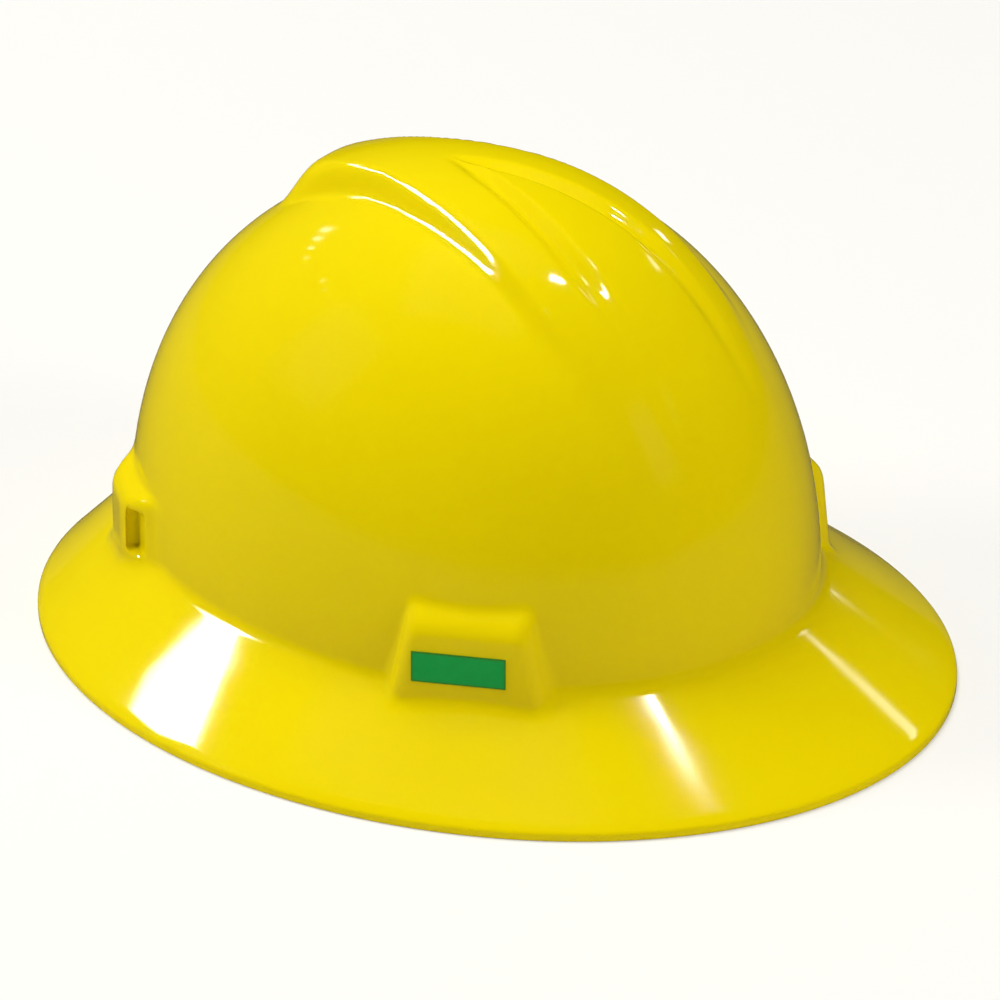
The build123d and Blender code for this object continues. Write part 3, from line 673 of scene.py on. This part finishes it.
def zip_faces(lower, upper, first_lower, first_upper):
    """Triangles between two closed rings with columns at different angles: each edge of one ring is
    joined to the point of the other ring that has been passed when that edge ends."""
    a = np.append(lower, lower[0] + 2 * math.pi)
    b = np.append(upper, upper[0] + 2 * math.pi)
    i = np.arange(len(lower))
    j = np.arange(len(upper))
    across = np.searchsorted(b[1:], a[1:], side="left") % len(upper)
    back = np.searchsorted(a[1:], b[1:], side="right") % len(lower)
    low = np.stack([first_lower + i, first_lower + (i + 1) % len(lower), first_upper + across], axis=1)
    high = np.stack([first_lower + back, first_upper + (j + 1) % len(upper), first_upper + j], axis=1)
    return np.concatenate([low, high])


def mesh_object(name, points, faces):
    """A smooth shaded mesh object from an array of points and a list of faces."""
    mesh = bpy.data.meshes.new(name)
    mesh.from_pydata(points.tolist(), [], faces)
    mesh.update()
    mesh.polygons.foreach_set("use_smooth", [True] * len(mesh.polygons))
    obj = bpy.data.objects.new(name, mesh)
    bpy.context.scene.collection.objects.link(obj)
    return obj


def pole_fan(rim, pole):
    """Triangles from a closed rim of point numbers to one pole."""
    return np.stack([rim, np.roll(rim, -1), np.full(len(rim), pole)], axis=1).tolist()


def skin_object(name, bands, first_pole, last_pole):
    """A closed skin from bands of rings in order, each with its own angles. Neighbouring bands are zipped
    together, and a fan of triangles runs to a single point at each end."""
    starts = np.cumsum([0] + [rings.shape[0] * rings.shape[1] for _, rings in bands])
    points = np.concatenate([rings.reshape(-1, 3) for _, rings in bands] + [[first_pole, last_pole]])
    faces = []
    for (angles, rings), start in zip(bands, starts):
        faces += ring_faces(rings.shape[0], rings.shape[1], start).tolist()
    for index in range(len(bands) - 1):
        lower, upper = bands[index], bands[index + 1]
        last_ring = starts[index + 1] - len(lower[0])
        faces += zip_faces(lower[0], upper[0], last_ring, starts[index + 1]).tolist()
    faces += pole_fan(np.arange(len(bands[0][0]))[::-1], len(points) - 2)
    faces += pole_fan(np.arange(starts[-1] - len(bands[-1][0]), starts[-1]), len(points) - 1)
    return mesh_object(name, points, faces)


crest_top = crest_shift[2] * np.array([0, 0, 1])
inner_pole = np.array([0.0, 0.0, crown_base + crown_rise - shell_wall]) + crest_top
outer_pole = np.array([0.0, 0.0, crown_base + crown_rise]) + crest_top
bands = [(inner_angles, np.concatenate([inner_side[::-1], land_ring()])),
         (outer_angles, np.concatenate([lip_rings(), low_side])),
         (dome_angles, dome_side)]
shell = skin_object("moulded_shell", bands, inner_pole, outer_pole)
print("shell triangles", sum(len(p.vertices) - 2 for p in shell.data.polygons))

# %% [markdown]
# ## Yellow polyethylene
# High density polyethylene, injection moulded in a polished tool: a deep glossy yellow that lets a little
# light in. Cooling leaves a faint ripple in it, and handling dulls it in places. Both could be pictures,
# but noise in metres needs no unwrapping and keeps its grain at any distance.

# %% Material: glossy moulded polyethylene


def glossy_polyethylene():
    """IOR 1.54 and a roughness of 0.06 to 0.11, which drifts over 20 mm as handling dulls it. The ripple
    is 6 mm from crest to crest, drawn barely visible. A little light goes through the skin, and red
    goes furthest."""
    material, tree, shader = new_material("glossy_moulded_polyethylene")
    place = add_node(tree, "ShaderNodeTexCoord").outputs["Object"]
    cloud = add_node(tree, "ShaderNodeTexNoise", {
        "Vector": place, "Scale": per_metre(70 * mm), "Detail": 3.0})
    tint = add_node(tree, "ShaderNodeMix", {
        0: cloud.outputs["Fac"], 6: linear("#EBD700"), 7: linear("#F1DC04")}, data_type="RGBA")
    tree.links.new(tint.outputs[2], shader.inputs["Base Color"])
    smear = add_node(tree, "ShaderNodeTexNoise", {
        "Vector": place, "Scale": per_metre(20 * mm), "Detail": 5.0})
    gloss = add_node(tree, "ShaderNodeMapRange", {
        0: smear.outputs["Fac"], 1: 0.35, 2: 0.7, 3: 0.06, 4: 0.11})
    tree.links.new(gloss.outputs[0], shader.inputs["Roughness"])
    ripple = add_node(tree, "ShaderNodeTexNoise", {
        "Vector": place, "Scale": per_metre(6 * mm), "Detail": 2.0})
    bump = add_node(tree, "ShaderNodeBump", {"Height": ripple.outputs["Fac"], "Strength": 0.05,
                                             "Distance": 0.05 * mm})
    tree.links.new(bump.outputs[0], shader.inputs["Normal"])
    shader.inputs["IOR"].default_value = 1.54
    shader.inputs["Subsurface Weight"].default_value = 0.08
    shader.inputs["Subsurface Radius"].default_value = (1.0, 0.6, 0.1)
    shader.inputs["Subsurface Scale"].default_value = 2.0 * mm
    return material


shell_material = glossy_polyethylene()
shell.data.materials.append(shell_material)
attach(shell, "hat")
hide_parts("shell")
print("shell dressed")

# %% [markdown]
# ## Webbing straps
# Two straps of flat woven webbing cross over the head and are riveted to the four keys. Webbing is stiff
# across and limp along, so it keeps its flat section and follows one curve: two upright legs under two
# quarter ellipses. That curve is measured along its length, and the section is carried along it. The
# ribs of the weave are real relief, because the straps are seen from close by when the hat is turned over.

# %% Path of a strap
strap_half_width = 9.5 * mm
strap_thickness = 1.2 * mm
strap_end = 54.5 * mm
strap_spring_line = 70.0 * mm
strap_top = 121.0 * mm
strap_standoff = 14.8 * mm
strap_lift = 2.1 * mm
strap_rows = 560
strap_runs = {"lower_crown_strap": ("rear_right", "front_left", 0.0),
              "upper_crown_strap": ("rear_left", "front_right", strap_lift)}


def strap_path(rear_name, front_name, lift):
    """Points of a strap's middle line, evenly spaced, with the level way across it, its upward normals and
    the distances along it. In the strap's own plane the line is: up, a quarter of an ellipse to the top,
    a quarter down, and down."""
    start = lug_frame(lug_angles[rear_name])[0]
    end = lug_frame(lug_angles[front_name])[0]
    length = np.hypot(*(end - start))
    way = (end - start) / length
    crossing = -start[1] / way[1]
    near = strap_standoff + strap_thickness / 2
    rise = strap_top + lift - strap_thickness / 2 - strap_spring_line
    far = length - near
    turn = np.linspace(0, math.pi / 2, 200)
    rear_line = crossing - (crossing - near) * np.cos(turn)
    front_line = crossing + (far - crossing) * np.sin(turn)
    up = np.stack([rear_line, strap_spring_line + rise * np.sin(turn)], axis=1)
    down = np.stack([front_line, strap_spring_line + rise * np.cos(turn)], axis=1)
    line = np.concatenate([[[near, strap_end]], up, down[1:], [[far, strap_end]]])
    along = np.concatenate([[0.0], np.cumsum(np.hypot(*np.diff(line, axis=0).T))])
    even = np.linspace(0, along[-1], strap_rows)
    flat = np.stack([np.interp(even, along, line[:, 0]), np.interp(even, along, line[:, 1])], axis=1)
    slope = np.gradient(flat, axis=0)
    slope = slope / np.linalg.norm(slope, axis=1, keepdims=True)
    points = np.stack([start[0] + flat[:, 0] * way[0], start[1] + flat[:, 0] * way[1], flat[:, 1]], axis=1)
    normals = np.stack([-slope[:, 1] * way[0], -slope[:, 1] * way[1], slope[:, 0]], axis=1)
    return points, np.array([-way[1], way[0], 0.0]), normals, even


for name, run in strap_runs.items():
    print(name, "is", round(float(strap_path(*run)[3][-1]), 4), "m long")

# %% [markdown]
# A weave could be a pattern in the colour alone, but webbing is thick and its ribs catch the light one by
# one. So the ribs are in the mesh, and each point also keeps its place along and across the strap, from
# which the material draws the yarns.

# %% Straps


def tube_object(name, rings, along, across):
    """A closed skin from a grid of rings, with a fan of triangles at each end. Each point keeps how far
    along and across the piece it lies, for patterns that follow it."""
    count, around, _ = rings.shape
    ends = [rings[0].mean(0), rings[-1].mean(0)]
    points = np.concatenate([rings.reshape(-1, 3), ends])
    faces = ring_faces(count, around).tolist()
    faces += pole_fan(np.arange(around)[::-1], len(points) - 2)
    faces += pole_fan(np.arange((count - 1) * around, count * around), len(points) - 1)
    obj = mesh_object(name, points, faces)
    place = np.zeros((len(points), 3))
    place[:-2, 0] = np.broadcast_to(along[:, None], (count, around)).ravel()
    place[:-2, 1] = np.broadcast_to(across, (count, around)).ravel()
    place[-1, 0] = along[-1]
    weave = obj.data.attributes.new("weave", "FLOAT_VECTOR", "POINT")
    weave.data.foreach_set("vector", place.astype(np.float32).ravel())
    return obj


rib_pitch = 1.58 * mm
pick_pitch = 2.4 * mm
rib_relief = 0.09 * mm
rib_ground = 0.4
face_points = 49
edge_power = 14


def strap_object(name, rear_name, front_name, lift):
    """The section is a flat band with rounded edges. Its ribs are |sin| waves across, and every second
    one is shifted half a pick along, as in a plain weave."""
    points, side, normals, along = strap_path(rear_name, front_name, lift)
    across = np.linspace(-1, 1, face_points)
    round_edge = np.sqrt(np.clip(1 - np.abs(across) ** edge_power, 0, None))
    edge = np.concatenate([across, across[::-1][1:-1]]) * strap_half_width
    height = np.concatenate([round_edge, -round_edge[::-1][1:-1]]) * (strap_thickness / 2 - rib_relief)
    rib = np.abs(np.sin(math.pi * edge / rib_pitch))
    odd = np.floor(edge / rib_pitch) % 2
    pick = 0.5 + 0.5 * np.cos(2 * math.pi * (along[:, None] / pick_pitch + odd / 2))
    relief = rib_relief * rib * (rib_ground + (1 - rib_ground) * pick) * np.sign(height)
    lifted = (height + relief)[..., None] * normals[:, None, :]
    rings = points[:, None, :] + edge[:, None] * side + lifted
    return tube_object(name, rings, along, edge)


straps = {name: strap_object(name + "_webbing", *run) for name, run in strap_runs.items()}
for name, strap in straps.items():
    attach(strap, "hat")
    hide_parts(name)
    print(name, "triangles", sum(len(p.vertices) - 2 for p in strap.data.polygons))

# %% [markdown]
# ## Brow pad
# The brow pad is a strip of foam with a towelling face, sewn round its edge and across in four places so
# that it bends with the band. It lies flat against the band and swells towards the forehead. Its thickness
# is worked out at every point: thin at the sewn edge, full between the seams and pinched along them.

# %% Brow pad
band_radius = 76.0 * mm
band_centre = 22.0 * mm
band_front = 118.0 * mm
pad_gap = 0.3 * mm
pad_thickness = 4.4 * mm
pad_edge = 1.2 * mm
pad_middle = 38.0 * mm
pad_half_height = 15.9 * mm
pad_corner = 12.0 * mm
pad_back = 0.35 * mm
pad_back_bulge = 0.12 * mm
pad_reach = math.radians(50.6)
face_power = 4
back_power = 8
end_swell = 0.05
seam_shares = (-0.6, -0.2, 0.2, 0.6)
seam_half = 2.2 * mm
seam_pinch = 0.72
pucker = 0.22 * mm
pucker_pitch = 5.0 * mm
pad_rows = 300
pad_columns = 44


def brow_pad():
    """Rings along the inside of the band's ellipse. The thickness is the edge's plus a dome, which is the
    square root of 1 less v to the power 4, times a pinch at each seam. A sine wave along each seam puckers
    it."""
    turn = np.linspace(-pad_reach, pad_reach, pad_rows)
    line = np.stack([band_front * np.cos(turn), band_radius * np.sin(turn)], axis=1)
    along = np.concatenate([[0.0], np.cumsum(np.hypot(*np.diff(line, axis=0).T))])
    from_end = np.minimum(along, along[-1] - along)
    corner = np.clip(pad_corner - from_end, 0, None)
    half = pad_half_height - pad_corner + np.sqrt(pad_corner ** 2 - corner ** 2)
    v = np.linspace(-1, 1, pad_columns)
    swell = np.sqrt(np.clip(1 - v ** face_power, 0, None))
    swell = swell * step(from_end / pad_corner + end_swell)[:, None]
    middle = along[:, None] / along[-1] * 2 - 1
    seam = np.ones((pad_rows, 1))
    for share in seam_shares:
        away = np.abs(middle - share) * along[-1] / 2
        seam = seam * (1 - seam_pinch * step(1 - away / (2 * seam_half)))
    wave = pucker * (1 - seam) * np.sin(2 * math.pi * v * half[:, None] / pucker_pitch)
    inner = pad_edge + (pad_thickness - pad_edge) * swell * seam + wave * swell
    outer = np.full_like(inner, pad_back_bulge) * np.sqrt(np.clip(1 - v ** back_power, 0, None))
    depth = pad_gap + np.concatenate([pad_back - outer, inner[:, ::-1]], axis=1)
    height = pad_middle + np.concatenate([v, v[::-1]]) * half[:, None]
    x = -band_centre + (band_front - depth) * np.cos(turn)[:, None]
    y = (band_radius - depth) * np.sin(turn)[:, None]
    rings = np.stack([x, y, height], axis=2)
    return tube_object("towelling_brow_pad", rings, along, height - pad_middle)


pad = brow_pad()
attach(pad, "hat")
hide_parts("brow_pad")
print("pad triangles", sum(len(p.vertices) - 2 for p in pad.data.polygons))

# %% [markdown]
# ## Finishes of the suspension
# Everything inside the shell is dark: nylon keys, a soft polyethylene band, an acetal ratchet with a
# rubber grip, and zinc plated rivets and screws. They differ mostly in gloss and grain, which is what the
# eye uses to tell them apart, so each finish gets its own grain size, relief and spread of roughness.

# %% Moulded and plated finishes


def grained(name, codes, roughness, grain, relief, metallic=0.0):
    """A finish whose colour drifts between two hex codes over 15 mm, with a fine grain in gloss and
    relief. The grain is a size in metres, and roughness is its lowest and highest value."""
    material, tree, shader = new_material(name)
    place = add_node(tree, "ShaderNodeTexCoord").outputs["Object"]
    drift = add_node(tree, "ShaderNodeTexNoise", {
        "Vector": place, "Scale": per_metre(15 * mm), "Detail": 3.0})
    tint = add_node(tree, "ShaderNodeMix", {
        0: drift.outputs["Fac"], 6: linear(codes[0]), 7: linear(codes[1])}, data_type="RGBA")
    tree.links.new(tint.outputs[2], shader.inputs["Base Color"])
    grit = add_node(tree, "ShaderNodeTexNoise", {
        "Vector": place, "Scale": per_metre(grain), "Detail": 4.0})
    gloss = add_node(tree, "ShaderNodeMapRange", {0: grit.outputs["Fac"], 1: 0.3, 2: 0.7, 3: roughness[0],
                                                  4: roughness[1]})
    tree.links.new(gloss.outputs[0], shader.inputs["Roughness"])
    bump = add_node(tree, "ShaderNodeBump", {
        "Height": grit.outputs["Fac"], "Strength": 0.6, "Distance": relief})
    tree.links.new(bump.outputs[0], shader.inputs["Normal"])
    shader.inputs["Metallic"].default_value = metallic
    return material


def moulded_nylon():
    """Glass filled nylon from a spark eroded tool: near black, satin, with a 0.7 mm sparkle of grain."""
    return grained("moulded_nylon", ("#19191B", "#232326"), (0.34, 0.52), 0.7 * mm, 0.03 * mm)


def moulded_acetal():
    """Acetal is slippery and a little waxy: smoother than the nylon, with a grain of 0.5 mm."""
    return grained("moulded_acetal", ("#1D1E21", "#26282B"), (0.26, 0.38), 0.5 * mm, 0.015 * mm)


def moulded_rubber():
    """Thermoplastic rubber for the grip: matt, dusty black with a 1 mm pebble that fingers can hold."""
    return grained("moulded_rubber", ("#131313", "#1E1D1C"), (0.62, 0.85), 1.0 * mm, 0.08 * mm)


def zinc_plated_steel():
    """Zinc plate with a clear passivation: bright but cloudy grey, with faint blue and straw stains. The
    stains drift over 15 mm, and the plate's bloom is drawn 0.9 mm wide, coarser than life, to show."""
    return grained("zinc_plated_steel", ("#BFC4C8", "#C9C6B8"), (0.24, 0.42), 0.9 * mm, 0.01 * mm, 1.0)


print("the nylon is", round(linear("#19191B")[0], 4), "in linear light at its darkest")

# %% [markdown]
# The other four finishes have patterns that one grain can't give: pebbles on the band, twisted yarns on
# the webbing, loops on the towelling, and on the label a flat ink with a darker cut edge. They could be
# pictures wrapped round the pieces, but worked out patterns need no unwrapping and stay sharp close by.

# %% Band, webbing, towelling and label


def pebbled_polyethylene():
    """Low density polyethylene band with a pebbled mould texture, 1.4 mm from pebble to pebble: soft
    highlights broken by the grain. Cell distance gives the pebbles and noise dulls their tops."""
    material, tree, shader = new_material("pebbled_polyethylene")
    place = add_node(tree, "ShaderNodeTexCoord").outputs["Object"]
    pebble = add_node(tree, "ShaderNodeTexVoronoi", {"Vector": place, "Scale": per_metre(1.4 * mm)})
    dust = add_node(tree, "ShaderNodeTexNoise", {
        "Vector": place, "Scale": per_metre(9 * mm), "Detail": 4.0})
    tint = add_node(tree, "ShaderNodeMix", {
        0: dust.outputs["Fac"], 6: linear("#222326"), 7: linear("#303236")}, data_type="RGBA")
    tree.links.new(tint.outputs[2], shader.inputs["Base Color"])
    gloss = add_node(tree, "ShaderNodeMapRange", {
        0: pebble.outputs["Distance"], 1: 0.0, 2: 0.8, 3: 0.38, 4: 0.58})
    tree.links.new(gloss.outputs[0], shader.inputs["Roughness"])
    bump = add_node(tree, "ShaderNodeBump", {"Height": pebble.outputs["Distance"], "Strength": 0.5,
                                             "Distance": 0.05 * mm})
    tree.links.new(bump.outputs[0], shader.inputs["Normal"])
    return material


yarn_pitch = 0.4 * mm
wave_unit = 1 / 6.3


def woven_polyester():
    """Spun dyed polyester yarn: dark grey, with a paler fleck on each yarn and the yarns' twist as a fine
    slanted line. A wave texture repeats about every third of its unit, so the lines lie 0.8 mm apart,
    twice the real pitch, to show. The pattern follows the strap through its weave attribute."""
    material, tree, shader = new_material("woven_polyester")
    place = add_node(tree, "ShaderNodeAttribute", attribute_name="weave").outputs["Vector"]
    slant = add_node(tree, "ShaderNodeMapping", {
        "Vector": place, "Rotation": (0.0, 0.0, math.radians(32))})
    twist = add_node(tree, "ShaderNodeTexWave", {
        "Vector": slant.outputs[0], "Scale": per_metre(yarn_pitch) * wave_unit, "Distortion": 1.5,
        "Detail": 2.0}, wave_type="BANDS")
    fleck = add_node(tree, "ShaderNodeTexNoise", {
        "Vector": place, "Scale": per_metre(1.2 * mm), "Detail": 3.0})
    tint = add_node(tree, "ShaderNodeMix", {
        0: fleck.outputs["Fac"], 6: linear("#26272B"), 7: linear("#55575D")}, data_type="RGBA")
    tree.links.new(tint.outputs[2], shader.inputs["Base Color"])
    bump = add_node(tree, "ShaderNodeBump", {
        "Height": twist.outputs["Fac"], "Strength": 0.7, "Distance": 0.06 * mm})
    tree.links.new(bump.outputs[0], shader.inputs["Normal"])
    shader.inputs["Roughness"].default_value = 0.78
    shader.inputs["Sheen Weight"].default_value = 0.25
    return material


def towelling():
    """Cotton and polyester towelling: a field of small loops that scatter light, drawn 1.3 mm apart, with
    deep shade painted into the colour between them, a soft sheen and patches where the pile leans another
    way."""
    material, tree, shader = new_material("towelling")
    place = add_node(tree, "ShaderNodeTexCoord").outputs["Object"]
    loops = add_node(tree, "ShaderNodeTexVoronoi", {"Vector": place, "Scale": per_metre(1.3 * mm)},
                     feature="SMOOTH_F1")
    lean = add_node(tree, "ShaderNodeTexNoise", {
        "Vector": place, "Scale": per_metre(12 * mm), "Detail": 2.0})
    pile = add_node(tree, "ShaderNodeMix", {
        0: lean.outputs["Fac"], 6: linear("#2E3036"), 7: linear("#474A52")}, data_type="RGBA")
    # Painted shade: towards the edge of each loop the colour darkens to near black #17181A, standing in for
    # the shade between the loops. The loops' relief itself is the bump below.
    shade = add_node(tree, "ShaderNodeMapRange", {
        0: loops.outputs["Distance"], 1: 0.15, 2: 0.6, 3: 0.0, 4: 0.7})
    tint = add_node(tree, "ShaderNodeMix", {
        0: shade.outputs[0], 6: pile.outputs[2], 7: linear("#17181A")}, data_type="RGBA")
    tree.links.new(tint.outputs[2], shader.inputs["Base Color"])
    bump = add_node(tree, "ShaderNodeBump", {"Height": loops.outputs["Distance"], "Strength": 0.9,
                                             "Distance": 0.35 * mm}, invert=True)
    tree.links.new(bump.outputs[0], shader.inputs["Normal"])
    shader.inputs["Roughness"].default_value = 0.9
    shader.inputs["Sheen Weight"].default_value = 0.4
    return material


label_half_width = 15.0 * mm
label_half_height = 5.15 * mm
label_border = 0.55 * mm


def printed_vinyl():
    """Cast vinyl film printed green under a clear coat: flat colour, a darker cut edge all round and a
    slight orange peel, 3 mm from dimple to dimple, in a soft gloss. It carries no print."""
    material, tree, shader = new_material("printed_vinyl")
    normal = lug_frame(lug_angles["front_right"])[1]
    low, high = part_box("blank_label")
    place = add_node(tree, "ShaderNodeTexCoord").outputs["Object"]
    turned = add_node(tree, "ShaderNodeMapping", {
        "Vector": place, "Location": (low + high) / 2,
        "Rotation": (0.0, 0.0, math.atan2(normal[1], normal[0]))}, vector_type="TEXTURE")
    size = add_node(tree, "ShaderNodeVectorMath", {0: turned.outputs[0]}, operation="ABSOLUTE")
    parts = add_node(tree, "ShaderNodeSeparateXYZ", {0: size.outputs[0]})
    ends = add_node(tree, "ShaderNodeMath", {0: parts.outputs["Y"], 1: label_half_width - label_border},
                    operation="GREATER_THAN")
    edges = add_node(tree, "ShaderNodeMath", {0: parts.outputs["Z"], 1: label_half_height - label_border},
                     operation="GREATER_THAN")
    border = add_node(tree, "ShaderNodeMath", {
        0: ends.outputs[0], 1: edges.outputs[0]}, operation="MAXIMUM")
    peel = add_node(tree, "ShaderNodeTexNoise", {
        "Vector": place, "Scale": per_metre(3 * mm), "Detail": 1.0})
    ink = add_node(tree, "ShaderNodeMix", {
        0: peel.outputs["Fac"], 6: linear("#00A548"), 7: linear("#06B052")}, data_type="RGBA")
    tint = add_node(tree, "ShaderNodeMix", {
        0: border.outputs[0], 6: ink.outputs[2], 7: linear("#2F8F2C")}, data_type="RGBA")
    tree.links.new(tint.outputs[2], shader.inputs["Base Color"])
    bump = add_node(tree, "ShaderNodeBump", {
        "Height": peel.outputs["Fac"], "Strength": 0.15, "Distance": 0.03 * mm})
    tree.links.new(bump.outputs[0], shader.inputs["Normal"])
    shader.inputs["Roughness"].default_value = 0.22
    return material


finishes = {"key_plastic": moulded_nylon(), "ratchet_plastic": moulded_acetal(),
            "grip_rubber": moulded_rubber(), "zinc_steel": zinc_plated_steel(),
            "band_plastic": pebbled_polyethylene(), "webbing": woven_polyester(),
            "pad_fabric": towelling(), "label_film": printed_vinyl()}
slots = {part["node"]: part["material_slot"] for part in frame["record"]["subparts"]}
for name, node_object in frame["nodes"].items():
    if slots[name] in finishes:
        node_object.data.materials.clear()
        node_object.data.materials.append(finishes[slots[name]])
for strap in straps.values():
    strap.data.materials.append(finishes["webbing"])
pad.data.materials.append(finishes["pad_fabric"])
print("finishes", len(finishes))
